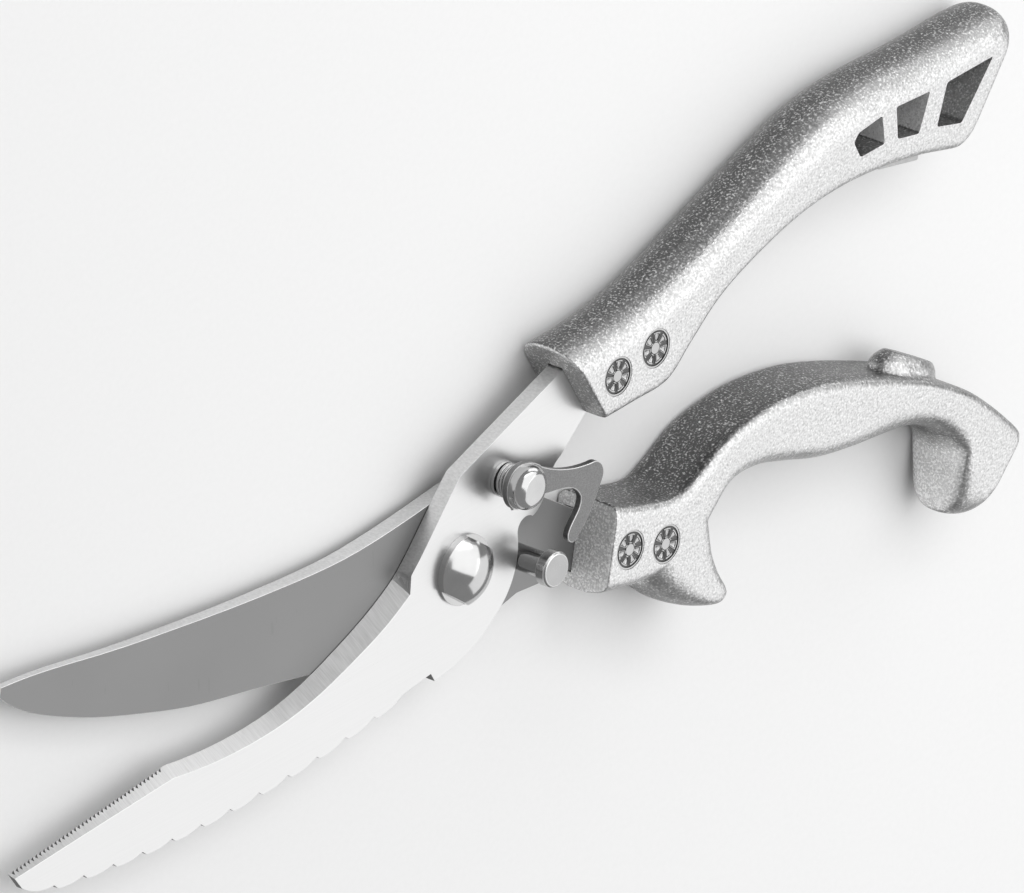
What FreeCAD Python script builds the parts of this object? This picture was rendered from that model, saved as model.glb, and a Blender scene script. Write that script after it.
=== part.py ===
import FreeCAD, Part
import math
import os
import Sketcher
from FreeCAD import Vector

# Poultry shears lying flat. The origin is on the pivot's axis at the resting
# surface, +Z runs up the pivot, +X runs from the pivot to the handles and -X
# to the blade tips. The front half is the upper handle with the blade that
# lies on top; the rear half turns about +Z to close.

doc = FreeCAD.newDocument("poultry_shears")
sheet = doc.addObject("Spreadsheet::Sheet", "dims")

driving = {
    # overall reaches from the pivot's axis
    "blade_reach": 115.0,
    "handle_reach": 144.0,
    # stack along the pivot
    "nut_height": 1.6,
    "nut_radius": 6.0,
    "nut_chamfer": 0.4,
    "washer_thickness": 0.4,
    "washer_radius": 6.4,
    "blade_thickness": 3.35,
    "blade_gap": 0.1,
    "tip_thickness": 1.3,
    "bolt_radius": 4.0,
    "bolt_grip": 1.0,
    "running_gap": 0.05,
    "bolt_head_radius": 6.5,
    "bolt_rim_height": 1.8,
    "bolt_rim_chamfer": 0.5,
    "bolt_dome_height": 2.5,
    "bolt_across_flats": 10.6,
    "bolt_flat_start": 0.6,
    # scalloped spine of the front blade
    "scallop_count": 12,
    "scallop_height": 0.8,
    "scallop_crest": 0.88,
    # ring spring between the blades
    "spring_wire": 0.65,
    "spring_ring_radius": 8.7,
    "spring_sweep": 325.0,
    "groove_side_gap": 0.6,
    "groove_depth_gap": 0.2,
    # latch on the front tang
    "stud_across": 11.3,
    "stud_up": 13.0,
    "stud_radius": 2.0,
    "stud_head_radius": 4.07,
    "stud_head_height": 2.9,
    "stud_rim_height": 0.9,
    "collar_radius": 3.2,
    "collar_height": 0.7,
    "sleeve_radius": 2.45,
    "sleeve_height": 2.65,
    "latch_wire": 0.34,
    "coil_gap": 0.08,
    "lever_thickness": 1.3,
    # catch pin on the rear tang
    "pin_across": 16.1,
    "pin_up": -4.75,
    "pin_radius": 2.3,
    "pin_head_radius": 3.3,
    "pin_head_height": 2.2,
    "pin_chamfer": 0.35,
    "pin_clearance": 0.12,
    "closing_angle": 19.5,
    # cast handles
    "handle_thickness": 14.1,
    "slot_clearance": 0.05,
    "rivet_radius": 1.75,
    "rivet_head_radius": 3.6,
    "rivet_head_height": 1.0,
    "cap_height": 0.75,
    "cap_sink": 0.15,
    "cap_rim": 0.45,
    "cap_ring_width": 0.4,
    "cap_ring_depth": 0.25,
    "seat_clearance": 0.05,
    "upper_round": 3.5,
    "lower_round": 2.5,
    # stop pad under the upper handle and the boss it lands on
    "stop_width": 8.0,
    "stop_depth": 3.0,
    "stop_gap": 0.1,
    "boss_width": 9.2,
}
for row, (name, number) in enumerate(driving.items(), start=1):
    sheet.set(f"A{row}", name)
    sheet.set(f"B{row}", str(number))
    sheet.setAlias(f"B{row}", name)
doc.recompute()
size = {name: float(sheet.get(name)) for name in driving}

# Levels along the pivot, as expressions on the sheet and as numbers.
REAR_BOTTOM = "dims.nut_height + dims.washer_thickness"
REAR_TOP = REAR_BOTTOM + " + dims.blade_thickness"
FRONT_BOTTOM = REAR_TOP + " + dims.blade_gap"
FRONT_TOP = FRONT_BOTTOM + " + dims.blade_thickness"
rear_bottom = size["nut_height"] + size["washer_thickness"]
rear_top = rear_bottom + size["blade_thickness"]
front_bottom = rear_top + size["blade_gap"]
front_top = front_bottom + size["blade_thickness"]
COLLAR_TOP = FRONT_TOP + " + dims.collar_height"
LEVER_BOTTOM = COLLAR_TOP + " + dims.sleeve_height + dims.running_gap"
LEVER_TOP = LEVER_BOTTOM + " + dims.lever_thickness"
STUD_HEAD = LEVER_TOP + " + 2 * dims.running_gap"
PIN_HEAD = LEVER_TOP + " + 6 * dims.running_gap"

# The outlines were drawn at these sizes. A blade stretches from its root to its
# tip, and a handle stretches in its grip and moves beyond it.
DRAWN_BLADE_REACH = 115.0
DRAWN_HANDLE_REACH = 144.0
DRAWN_PIN_RADIUS = 2.3
BLADE_ROOT = -20.0
GRIP_START = 56.0
GRIP_END = 115.0


def place(point):
    """Move a drawn outline point to where the sheet's reaches put it."""
    x, y = point
    if x < BLADE_ROOT:
        share = (size["blade_reach"] + BLADE_ROOT) / (DRAWN_BLADE_REACH + BLADE_ROOT)
        x = BLADE_ROOT + (x - BLADE_ROOT) * share
    elif x > GRIP_START:
        share = min(1, (x - GRIP_START) / (GRIP_END - GRIP_START))
        x += (size["handle_reach"] - DRAWN_HANDLE_REACH) * share
    return Vector(x, y, 0)


def turned(point, degrees):
    """Turn a point about the pivot's axis."""
    angle = math.radians(degrees)
    return Vector(point.x * math.cos(angle) - point.y * math.sin(angle),
                  point.x * math.sin(angle) + point.y * math.cos(angle), 0)


def origin_plane(body, role):
    return next(item for item in body.Origin.OriginFeatures if item.Role == role)


def new_body(label):
    body = doc.addObject("PartDesign::Body", label)
    body.Label = label
    return body


def new_sketch(body, name, level=None, role="XY_Plane"):
    sketch = body.newObject("Sketcher::SketchObject", name)
    sketch.AttachmentSupport = [(origin_plane(body, role), "")]
    sketch.MapMode = "FlatFace"
    if level:
        sketch.setExpression("AttachmentOffset.Base.z", level)
    return sketch


def draw(sketch, start, runs, arc_tolerance=None):
    """Draw a closed outline from runs of ("line", end), ("arc", middle, end) or ("curve", points).

    With an arc_tolerance, a curve is drawn as tangent arcs that stay that near to it.
    """
    here = start
    for run in runs:
        kind, points = run[0], list(run[1:])
        if kind == "curve":
            points = list(points[0])
        if kind == "line":
            sketch.addGeometry(Part.LineSegment(here, points[-1]), False)
        elif kind == "arc":
            sketch.addGeometry(Part.Arc(here, points[0], points[1]), False)
        else:
            spline = Part.BSplineCurve()
            spline.interpolate([here] + points)
            pieces = spline.toBiArcs(arc_tolerance) if arc_tolerance else [spline]
            sketch.addGeometry(pieces, False)
        here = points[-1]


def draw_polygon(sketch, corners):
    draw(sketch, corners[0], [("line", corner) for corner in corners[1:] + corners[:1]])


def draw_circle(sketch, across, up, radius):
    """Draw a circle whose centre and radius are expressions on the sheet."""
    index = sketch.addGeometry(Part.Circle(Vector(1, 1, 0), Vector(0, 0, 1), 1.0), False)
    centre = (index, 3)
    marks = [Sketcher.Constraint("Radius", index, 1.0)]
    marks.append(Sketcher.Constraint("DistanceX", -1, 1, *centre, 1.0))
    marks.append(Sketcher.Constraint("DistanceY", -1, 1, *centre, 1.0))
    for mark, rule in zip(marks, (radius, across, up)):
        number = sketch.addConstraint(mark)
        sketch.setExpression(f"Constraints[{number}]", rule)


def pad(body, sketch, length):
    feature = body.newObject("PartDesign::Pad", sketch.Name + "_pad")
    feature.Profile = sketch
    feature.setExpression("Length", length)
    return feature


def pocket(body, sketch, length):
    """Cut downwards from the sketch's plane."""
    feature = body.newObject("PartDesign::Pocket", sketch.Name + "_cut")
    feature.Profile = sketch
    feature.setExpression("Length", length)
    return feature


def disc(body, name, level, height, radius, across="0", up="0"):
    sketch = new_sketch(body, name, level)
    draw_circle(sketch, across, up, radius)
    return pad(body, sketch, height)


def hole(body, name, level, depth, radius, across="0", up="0"):
    sketch = new_sketch(body, name, level)
    draw_circle(sketch, across, up, radius)
    return pocket(body, sketch, depth)


def rivet_holes(body, side, level, depth):
    """Drill one half's rivet holes."""
    for name, spot in RIVET_SPOTS.items():
        if name.startswith(side):
            hole(body, f"{body.Label}_{name}_hole", level, depth,
                 "dims.rivet_radius + dims.seat_clearance", *map(str, spot))


def edges_where(feature, test):
    doc.recompute()
    return [f"Edge{i}" for i, edge in enumerate(feature.Shape.Edges, start=1) if test(edge)]


def dress(body, kind, feature, edges, amount):
    """Fillet or chamfer the named edges."""
    dressed = body.newObject("PartDesign::" + kind, feature.Name + "_" + kind.lower())
    dressed.Base = (feature, edges)
    dressed.setExpression("Radius" if kind == "Fillet" else "Size", amount)
    return dressed


def at_level(edge, level):
    return all(abs(edge.valueAt(t).z - level) < 1e-6 for t in edge.ParameterRange)


# where the handles' rivets stand
RIVET_SPOTS = {
    "upper_rivet_front": (36.35, 24.05),
    "upper_rivet_back": (46.3, 25.4),
    "lower_rivet_front": (37.1, -10.1),
    "lower_rivet_back": (46.3, -12.8),
}

# front blade
pin_rest = Vector(size["pin_across"], size["pin_up"], 0)
pin_closed = turned(pin_rest, size["closing_angle"])
notch_radius = size["pin_radius"] + size["pin_clearance"]


def scallops(first, last, sag):
    """Steps of a scalloped spine between two points, along a shallow bow of the given sag."""
    count = int(size["scallop_count"])

    def on_bow(share, proud):
        point = first + (last - first) * share
        point.y -= sag * 4 * share * (1 - share) + proud
        return point

    runs = []
    for i in range(count):
        crest = on_bow((i + size["scallop_crest"] / 2) / count, size["scallop_height"])
        brow = on_bow((i + size["scallop_crest"]) / count, size["scallop_height"])
        runs.append(("arc", crest, brow))
        runs.append(("line", on_bow((i + 1) / count, 0)))
    return runs


def front_outline(edge_points, run_out):
    """The front blade's outline, with its cutting edge along the points given."""
    notch_start = pin_closed + Vector(0.665, 0.747, 0) * notch_radius
    notch_middle = pin_closed + Vector(-0.42, 0.907, 0) * notch_radius
    inward = Vector(pin_closed).normalize()
    notch_end = pin_closed - inward * notch_radius
    hub = notch_end.Length
    hub_middle = turned(notch_end, -31)
    hub_end = turned(notch_end, -62)
    runs = [("line", edge_points[1])]
    runs.append(("curve", edge_points[2:]))
    runs.append(("line", run_out))
    runs.append(("curve", [Vector(-7.8, 9.1, 0), Vector(-3.6, 13.5, 0), Vector(0.8, 17.8, 0)]))
    runs.append(("line", Vector(28.1, 27.2, 0)))
    runs.append(("line", Vector(50.0, 29.6, 0)))
    runs.append(("arc", Vector(53.6, 25.8, 0), Vector(50.5, 21.4, 0)))
    runs.append(("line", Vector(36.0, 19.0, 0)))
    runs.append(("line", Vector(26.3, 11.2, 0)))
    runs.append(("curve", [Vector(23.4, 8.6, 0), Vector(21.6, 5.3, 0), notch_start]))
    runs.append(("arc", notch_middle, notch_end))
    runs.append(("arc", hub_middle, hub_end))
    runs.append(("curve", [Vector(3.4, -15.0, 0), Vector(-2.5, -17.2, 0), Vector(-8.6, -18.3, 0)]))
    runs.append(("line", Vector(-9.5, -16.5, 0)))
    runs.append(("line", place((-17.0, -17.5))))
    runs.extend(scallops(place((-17.0, -17.5)), place((-104.5, -18.2)), 3.7))
    runs.append(("arc", place((-109.5, -17.3)), place((-112.3, -15.6))))
    runs.append(("line", edge_points[0]))
    return runs


# The cutting edge is the lower face's outline, and the grind runs back from it
# to the upper face.
edge = [(-114.3, -12.3), (-74.0, -8.2), (-66.0, -9.2), (-57.5, -9.6), (-48.0, -9.1),
        (-38.5, -7.2), (-29.0, -4.0), (-20.0, -0.2), (-14.4, 3.0)]
grind = [(-113.4, -14.2), (-74.0, -11.0), (-66.0, -11.8), (-57.5, -12.0), (-48.0, -11.4),
         (-38.5, -9.6), (-29.0, -6.5), (-20.0, -2.8), (-13.6, 0.6)]
run_out = Vector(-13.0, 4.1, 0)

front_blade = new_body("front_blade")
lower_sketch = new_sketch(front_blade, "front_lower_face", FRONT_BOTTOM)
upper_sketch = new_sketch(front_blade, "front_upper_face", FRONT_TOP)
edge_points = [place(point) for point in edge]
grind_points = [place(point) for point in grind]
draw(lower_sketch, edge_points[0], front_outline(edge_points, run_out))
draw(upper_sketch, grind_points[0], front_outline(grind_points, run_out))
front_loft = front_blade.newObject("PartDesign::AdditiveLoft", "front_plate")
front_loft.Profile = lower_sketch
front_loft.Sections = [upper_sketch]
front_loft.Ruled = True


def taper(body, name, root_level, tip_level, far_level):
    """Thin a blade towards its tip with one flat cut from its face."""
    sketch = new_sketch(body, name, role="XZ_Plane")
    reach = -size["blade_reach"]
    past = 4.0
    slope = (tip_level - root_level) / (reach - BLADE_ROOT)
    end_level = tip_level - slope * past
    draw_polygon(sketch, [Vector(BLADE_ROOT, root_level, 0), Vector(reach - past, end_level, 0),
                          Vector(reach - past, far_level, 0), Vector(BLADE_ROOT, far_level, 0)])
    cut = body.newObject("PartDesign::Pocket", name + "_cut")
    cut.Profile = sketch
    cut.Type = "ThroughAll"
    cut.Midplane = True
    return cut


taper(front_blade, "front_taper", front_top, front_bottom + size["tip_thickness"], front_top + 2.0)
hole(front_blade, "front_pivot_hole", FRONT_TOP, "dims.blade_thickness",
     "dims.bolt_radius + dims.running_gap")
hole(front_blade, "stud_hole", FRONT_TOP, "dims.blade_thickness", "dims.stud_radius",
     "dims.stud_across", "dims.stud_up")
rivet_holes(front_blade, "upper", FRONT_TOP, "dims.blade_thickness")

# Ring groove for the opening spring in the face that meets the rear blade.
GROOVE_DEPTH = "2 * dims.spring_wire + dims.groove_depth_gap"
groove_sketch = new_sketch(front_blade, "spring_groove", FRONT_BOTTOM + " + " + GROOVE_DEPTH)
for sign in "+-":
    draw_circle(groove_sketch, "0", "0",
                f"dims.spring_ring_radius {sign} (dims.spring_wire + dims.groove_side_gap)")
pocket(front_blade, groove_sketch, GROOVE_DEPTH)

# rear blade
rear_edge = [(-113.6, 21.4), (-110.0, 18.0), (-100.0, 12.1), (-90.0, 7.7), (-79.3, 3.9),
             (-66.7, 0.0), (-50.0, -3.5), (-37.3, -6.3), (-24.0, -9.0), (-12.0, -12.0)]
rear_grind = [(-113.3, 22.2), (-109.0, 20.4), (-99.0, 15.4), (-89.2, 10.9), (-78.6, 6.9),
              (-66.2, 2.7), (-49.6, -1.0), (-37.0, -3.9), (-23.8, -6.7), (-12.0, -12.0)]


def rear_outline(edge_points):
    runs = [("curve", edge_points[1:])]
    runs.append(("curve", [Vector(-5.0, -14.0, 0), Vector(3.0, -15.2, 0), Vector(11.7, -13.9, 0)]))
    runs.append(("line", Vector(17.0, -12.8, 0)))
    runs.append(("line", Vector(31.0, -14.2, 0)))
    runs.append(("line", Vector(50.0, -16.6, 0)))
    runs.append(("arc", Vector(53.4, -13.2, 0), Vector(51.0, -9.2, 0)))
    runs.append(("line", Vector(35.0, -4.6, 0)))
    runs.append(("line", Vector(25.1, 2.6, 0)))
    runs.append(("curve", [Vector(18.0, 7.0, 0), Vector(12.0, 11.0, 0), Vector(2.2, 13.8, 0)]))
    spine = [(-12.5, 12.3), (-25.0, 11.7), (-38.7, 12.5), (-52.0, 13.9), (-70.0, 16.3),
             (-87.3, 19.0), (-100.0, 21.4), (-113.0, 23.1)]
    runs.append(("curve", [place(point) for point in spine]))
    runs.append(("line", edge_points[0]))
    return runs


rear_blade = new_body("rear_blade")
rear_back_sketch = new_sketch(rear_blade, "rear_back_face", REAR_BOTTOM)
rear_front_sketch = new_sketch(rear_blade, "rear_front_face", REAR_TOP)
rear_edge_points = [place(point) for point in rear_edge]
rear_grind_points = [place(point) for point in rear_grind]
draw(rear_back_sketch, rear_grind_points[0], rear_outline(rear_grind_points))
draw(rear_front_sketch, rear_edge_points[0], rear_outline(rear_edge_points))
rear_loft = rear_blade.newObject("PartDesign::AdditiveLoft", "rear_plate")
rear_loft.Profile = rear_back_sketch
rear_loft.Sections = [rear_front_sketch]
rear_loft.Ruled = True
taper(rear_blade, "rear_taper", rear_bottom, rear_top - size["tip_thickness"], rear_bottom - 2.0)
hole(rear_blade, "rear_pivot_hole", REAR_TOP, "dims.blade_thickness",
     "dims.bolt_radius + dims.running_gap")
hole(rear_blade, "pin_hole", REAR_TOP, "dims.blade_thickness", "dims.pin_radius",
     "dims.pin_across", "dims.pin_up")
rivet_holes(rear_blade, "lower", REAR_TOP, "dims.blade_thickness")

# pivot stack
pivot_bolt = new_body("pivot_bolt")
BOLT_FOOT = "dims.nut_height - dims.bolt_grip"
disc(pivot_bolt, "bolt_shank", BOLT_FOOT, FRONT_TOP + " - (" + BOLT_FOOT + ")", "dims.bolt_radius")
head_profile = new_sketch(pivot_bolt, "bolt_head_profile", role="XZ_Plane")
head_radius = size["bolt_head_radius"]
rim_top = front_top + size["bolt_rim_height"]
crown = rim_top + size["bolt_dome_height"]
shoulder = Vector(head_radius - size["bolt_rim_chamfer"], rim_top, 0)
# The dome is the part of a sphere between the shoulder and the crown.
sphere = (shoulder.x ** 2 + size["bolt_dome_height"] ** 2) / (2 * size["bolt_dome_height"])
half_angle = math.asin(shoulder.x / sphere) / 2
dome_middle = Vector(sphere * math.sin(half_angle), crown - sphere * (1 - math.cos(half_angle)), 0)
draw(head_profile, Vector(0, front_top, 0), [
    ("line", Vector(head_radius, front_top, 0)),
    ("line", Vector(head_radius, rim_top - size["bolt_rim_chamfer"], 0)),
    ("line", shoulder),
    ("arc", dome_middle, Vector(0, crown, 0)),
    ("line", Vector(0, front_top, 0)),
])
head_turn = pivot_bolt.newObject("PartDesign::Revolution", "bolt_head")
head_turn.Profile = head_profile
head_turn.ReferenceAxis = (head_profile, ["V_Axis"])
head_turn.Angle = 360
HEAD_HEIGHT = "dims.bolt_rim_height + dims.bolt_dome_height"
FLAT_TURN = -40.0
flats = new_sketch(pivot_bolt, "bolt_flats", FRONT_TOP + " + " + HEAD_HEIGHT)
half_flat = size["bolt_across_flats"] / 2
clear = head_radius + 1
for side in (1, -1):
    corners = [Vector(-clear, side * half_flat, 0), Vector(clear, side * half_flat, 0),
               Vector(clear, side * clear, 0), Vector(-clear, side * clear, 0)]
    draw_polygon(flats, [turned(corner, FLAT_TURN) for corner in corners])
pocket(pivot_bolt, flats, HEAD_HEIGHT + " - dims.bolt_flat_start")

pivot_nut = new_body("pivot_nut")
nut_disc = disc(pivot_nut, "nut_disc", "0", "dims.nut_height", "dims.nut_radius")
rim = edges_where(nut_disc, lambda item: at_level(item, 0))
dress(pivot_nut, "Chamfer", nut_disc, rim, "dims.nut_chamfer")
hole(pivot_nut, "nut_bore", "dims.nut_height", "dims.bolt_grip + dims.running_gap",
     "dims.bolt_radius + dims.running_gap")

pivot_washer = new_body("pivot_washer")
disc(pivot_washer, "washer_disc", "dims.nut_height", "dims.washer_thickness", "dims.washer_radius")
hole(pivot_washer, "washer_bore", REAR_BOTTOM, "dims.washer_thickness",
     "dims.bolt_radius + dims.running_gap")

opening_spring = doc.addObject("Part::Torus", "opening_spring")
opening_spring.Label = "opening_spring"
opening_spring.setExpression("Radius1", "dims.spring_ring_radius")
opening_spring.setExpression("Radius2", "dims.spring_wire")
opening_spring.Angle3 = size["spring_sweep"]
opening_spring.setExpression("Placement.Base.z",
                             FRONT_BOTTOM + " + dims.spring_wire + dims.groove_depth_gap / 2")

# latch pieces
STUD_AT = ("dims.stud_across", "dims.stud_up")
latch_stud = new_body("latch_stud")
disc(latch_stud, "stud_shank", FRONT_BOTTOM, STUD_HEAD + " - (" + FRONT_BOTTOM + ")",
     "dims.stud_radius", *STUD_AT)
stud_rim = disc(latch_stud, "stud_head", STUD_HEAD, "dims.stud_head_height",
                "dims.stud_head_radius", *STUD_AT)
stud_bottom = (front_top + size["collar_height"] + size["sleeve_height"]
               + size["lever_thickness"] + 3 * size["running_gap"])
stud_top = stud_bottom + size["stud_head_height"]
rim = edges_where(stud_rim, lambda item: at_level(item, stud_top))
dress(latch_stud, "Fillet", stud_rim, rim, "dims.stud_head_height - dims.stud_rim_height")

latch_collar = new_body("latch_collar")
disc(latch_collar, "collar_base", FRONT_TOP, "dims.collar_height", "dims.collar_radius", *STUD_AT)
disc(latch_collar, "collar_sleeve", COLLAR_TOP, "dims.sleeve_height", "dims.sleeve_radius", *STUD_AT)
hole(latch_collar, "collar_bore", COLLAR_TOP + " + dims.sleeve_height",
     "dims.collar_height + dims.sleeve_height", "dims.stud_radius + dims.running_gap", *STUD_AT)

# Torsion spring: a round wire wound on the sleeve.
wire = size["latch_wire"]
coil_radius = size["sleeve_radius"] + wire + size["coil_gap"]
coil_pitch = 2 * wire + size["coil_gap"]
coil_foot = front_top + size["collar_height"] + wire + size["running_gap"]
coil_height = size["sleeve_height"] - 2 * (wire + size["running_gap"])
helix = Part.makeHelix(coil_pitch, coil_height, coil_radius)
section = Part.Wire(Part.makeCircle(wire, Vector(coil_radius, 0, 0), Vector(0, 1, 0)))
coil = Part.Wire(helix.Edges).makePipeShell([section], True, True)
latch_spring = doc.addObject("Part::Feature", "latch_spring")
latch_spring.Label = "latch_spring"
latch_spring.Shape = coil
latch_spring.Placement = FreeCAD.Placement(
    Vector(size["stud_across"], size["stud_up"], coil_foot), FreeCAD.Rotation())

latch_lever = new_body("latch_lever")
lever_sketch = new_sketch(latch_lever, "lever_outline", LEVER_BOTTOM)
stud = Vector(size["stud_across"], size["stud_up"], 0)


def by_stud(across, up):
    """A lever point, given from the stud's centre."""
    return stud + Vector(across, up, 0)


def finger(across, up):
    """A point on the lever's finger, which swings past a pin drawn at this radius."""
    return by_stud(across + size["pin_radius"] - DRAWN_PIN_RADIUS, up)


draw(lever_sketch, by_stud(5.2, 1.5), [
    ("curve", [by_stud(9.1, -0.6), by_stud(13.3, -2.1), by_stud(17.9, -2.9)]),
    ("arc", by_stud(20.3, -4.2), by_stud(20.2, -7.1)),
    ("curve", [by_stud(18.5, -9.6), finger(15.4, -13.5), finger(13.5, -15.2)]),
    ("arc", finger(11.2, -15.7), finger(10.8, -14.0)),
    ("curve", [finger(12.4, -11.9), by_stud(14.3, -9.6), by_stud(14.6, -8.3)]),
    ("curve", [by_stud(13.3, -6.3), by_stud(9.1, -4.6), by_stud(4.7, -3.7)]),
    ("curve", [by_stud(1.0, -4.4), by_stud(-2.6, -3.5), by_stud(-4.0, 0.0), by_stud(-1.8, 3.6),
               by_stud(2.0, 3.6), by_stud(5.2, 1.5)]),
])
pad(latch_lever, lever_sketch, "dims.lever_thickness")
hole(latch_lever, "lever_bore", LEVER_TOP, "dims.lever_thickness",
     "dims.stud_radius + dims.running_gap", *STUD_AT)

PIN_AT = ("dims.pin_across", "dims.pin_up")
catch_pin = new_body("catch_pin")
disc(catch_pin, "pin_shank", REAR_BOTTOM, PIN_HEAD + " - (" + REAR_BOTTOM + ")",
     "dims.pin_radius", *PIN_AT)
pin_cap = disc(catch_pin, "pin_cap", PIN_HEAD, "dims.pin_head_height", "dims.pin_head_radius", *PIN_AT)
pin_bottom = stud_bottom + 4 * size["running_gap"]
pin_top = pin_bottom + size["pin_head_height"]
rims = edges_where(pin_cap, lambda item: at_level(item, pin_top))
dress(catch_pin, "Chamfer", pin_cap, rims, "dims.pin_chamfer")

# handles
HANDLE_TOP = "dims.handle_thickness"
CAP_SEAT = "dims.cap_height + dims.cap_sink"
HEAD_SEAT = "dims.rivet_head_height + dims.cap_sink"


def casting(label, start, runs, rounding, slot_corners, slot_top):
    """A cast handle: a rounded slab with a slot for its tang and seats for its rivets."""
    body = new_body(label)
    outline = new_sketch(body, label + "_outline")
    draw(outline, start, runs, arc_tolerance=0.25)
    slab = pad(body, outline, HANDLE_TOP)
    faces = (0, size["handle_thickness"])
    rims = edges_where(slab, lambda item: any(at_level(item, face) for face in faces))
    dress(body, "Fillet", slab, rims, rounding)
    slot = new_sketch(body, label + "_slot", slot_top)
    draw_polygon(slot, slot_corners)
    pocket(body, slot, "dims.blade_thickness + 2 * dims.slot_clearance")
    side = label.split("_")[0]
    rivet_holes(body, side, HANDLE_TOP, HANDLE_TOP)
    for name, spot in RIVET_SPOTS.items():
        if name.startswith(side):
            for seat, level, depth in (("cap", HANDLE_TOP, CAP_SEAT), ("head", HEAD_SEAT, HEAD_SEAT)):
                hole(body, f"{name}_{seat}_seat", level, depth,
                     "dims.rivet_head_radius + dims.seat_clearance", *map(str, spot))
    return body


upper_start = Vector(25.4, 32.2, 0)
upper_runs = [
    ("line", Vector(33.2, 16.6, 0)),
    ("line", Vector(50.0, 17.2, 0)),
    ("curve", [place(p) for p in [(54.5, 21.0), (62.0, 26.6), (72.0, 31.1), (84.0, 34.5), (96.0, 35.7),
                                  (108.0, 35.0), (118.0, 33.4), (126.6, 31.2)]]),
    ("curve", [place(p) for p in [(130.5, 33.2), (138.0, 39.4), (142.6, 44.6), (144.0, 48.3),
                                  (141.4, 51.3), (134.5, 51.8), (124.0, 51.6), (108.0, 52.1), (96.0, 50.9),
                                  (84.0, 47.3), (72.0, 43.0), (60.0, 38.6), (48.0, 34.9),
                                  (36.0, 32.8)]] + [upper_start]),
]
upper_slot = [Vector(18.0, 34.0, 0), Vector(28.0, 27.4, 0), Vector(50.0, 29.8, 0), Vector(54.2, 29.8, 0),
              Vector(54.2, 21.9, 0), Vector(51.5, 21.2, 0), Vector(37.0, 18.7, 0), Vector(24.0, 8.0, 0)]
upper_handle = casting("upper_handle", upper_start, upper_runs,
                       "dims.upper_round", upper_slot,
                       FRONT_TOP + " + dims.slot_clearance")
windows = new_sketch(upper_handle, "windows", HANDLE_TOP)
draw_polygon(windows, [place(p) for p in [(99.4, 43.8), (100.6, 45.0), (107.2, 45.8), (107.4, 40.3),
                                          (101.0, 40.2)]])
draw_polygon(windows, [place(p) for p in [(110.9, 46.0), (119.8, 45.5), (116.3, 38.6), (110.8, 39.8)]])
draw_polygon(windows, [place(p) for p in [(124.3, 45.4), (136.0, 45.4), (127.2, 36.2), (121.0, 38.0)]])
pocket(upper_handle, windows, HANDLE_TOP)

lower_start = Vector(34.6, -0.8, 0)
lower_runs = [
    ("line", Vector(29.6, -12.8, 0)),
    ("curve", [Vector(31.2, -16.6, 0), Vector(34.8, -18.2, 0), Vector(39.4, -17.2, 0),
               Vector(42.6, -19.4, 0), Vector(47.5, -25.0, 0), Vector(55.0, -29.4, 0),
               place((59.2, -30.4)), place((61.9, -28.8)), place((60.4, -24.6)),
               place((59.0, -18.8)), place((60.4, -13.4)), place((65.2, -10.4)),
               place((72.0, -10.2)), place((85.2, -14.5)), place((95.8, -16.7)),
               place((105.8, -18.3)), place((114.3, -20.0)), place((120.2, -24.0)),
               place((122.6, -29.2)), place((121.6, -35.2)), place((122.4, -39.8)),
               place((126.8, -41.6)), place((132.2, -38.0)), place((138.9, -29.9))]),
    ("curve", [place((135.4, -24.2)), place((130.6, -19.3)), place((125.6, -15.4)),
               place((115.5, -9.4)), place((105.0, -4.8)), place((95.0, -0.8)),
               place((85.0, 1.5)), place((75.0, 2.0)), place((65.0, 0.6)), Vector(56.0, -3.4, 0),
               Vector(50.5, -5.3, 0), Vector(42.0, -3.3, 0), lower_start]),
]
lower_slot = [Vector(22.0, 6.0, 0), Vector(35.0, -4.4, 0), Vector(51.2, -9.0, 0), Vector(54.0, -11.5, 0),
              Vector(54.0, -15.0, 0), Vector(50.2, -16.8, 0), Vector(22.0, -13.5, 0)]
lower_handle = casting("lower_handle", lower_start, lower_runs,
                       "dims.lower_round", lower_slot,
                       REAR_TOP + " + dims.slot_clearance")

# boss with a flat landing on the lower handle, and the pad that meets it when closed
landing_start = place((113.7, -4.7))
landing_end = place((122.7, -10.3))
boss = new_sketch(lower_handle, "boss", "(dims.handle_thickness - dims.boss_width) / 2")
draw(boss, landing_start, [
    ("line", landing_end),
    ("arc", place((124.6, -12.2)), place((126.0, -15.7))),
    ("line", place((124.5, -18.0))),
    ("line", place((103.5, -9.0))),
    ("line", place((103.5, -4.2))),
    ("curve", [place((106.9, -2.9)), place((110.5, -3.1)), landing_start]),
])
pad(lower_handle, boss, "dims.boss_width")

closed_start = turned(landing_start, size["closing_angle"])
closed_end = turned(landing_end, size["closing_angle"])
along = (closed_end - closed_start).normalize()
towards = Vector(-along.y, along.x, 0)
stop_face = [closed_start + towards * size["stop_gap"], closed_end + towards * size["stop_gap"]]


def stop_corners(clearance):
    """The pad's outline, grown by a clearance for its pocket."""
    first, last = stop_face[0] - along * clearance, stop_face[1] + along * clearance
    rise = towards * (size["stop_depth"] + clearance)
    return [first, last, last + rise, first + rise]


STOP_TOP = "(dims.handle_thickness + dims.stop_width) / 2"
upper_stop_pad = new_body("upper_stop_pad")
stop_outline = new_sketch(upper_stop_pad, "stop_outline",
                          "(dims.handle_thickness - dims.stop_width) / 2")
draw_polygon(stop_outline, stop_corners(0))
pad(upper_stop_pad, stop_outline, "dims.stop_width")
stop_pocket = new_sketch(upper_handle, "stop_pocket", STOP_TOP + " + dims.seat_clearance")
draw_polygon(stop_pocket, stop_corners(size["seat_clearance"]))
pocket(upper_handle, stop_pocket, "dims.stop_width + 2 * dims.seat_clearance")

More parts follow.
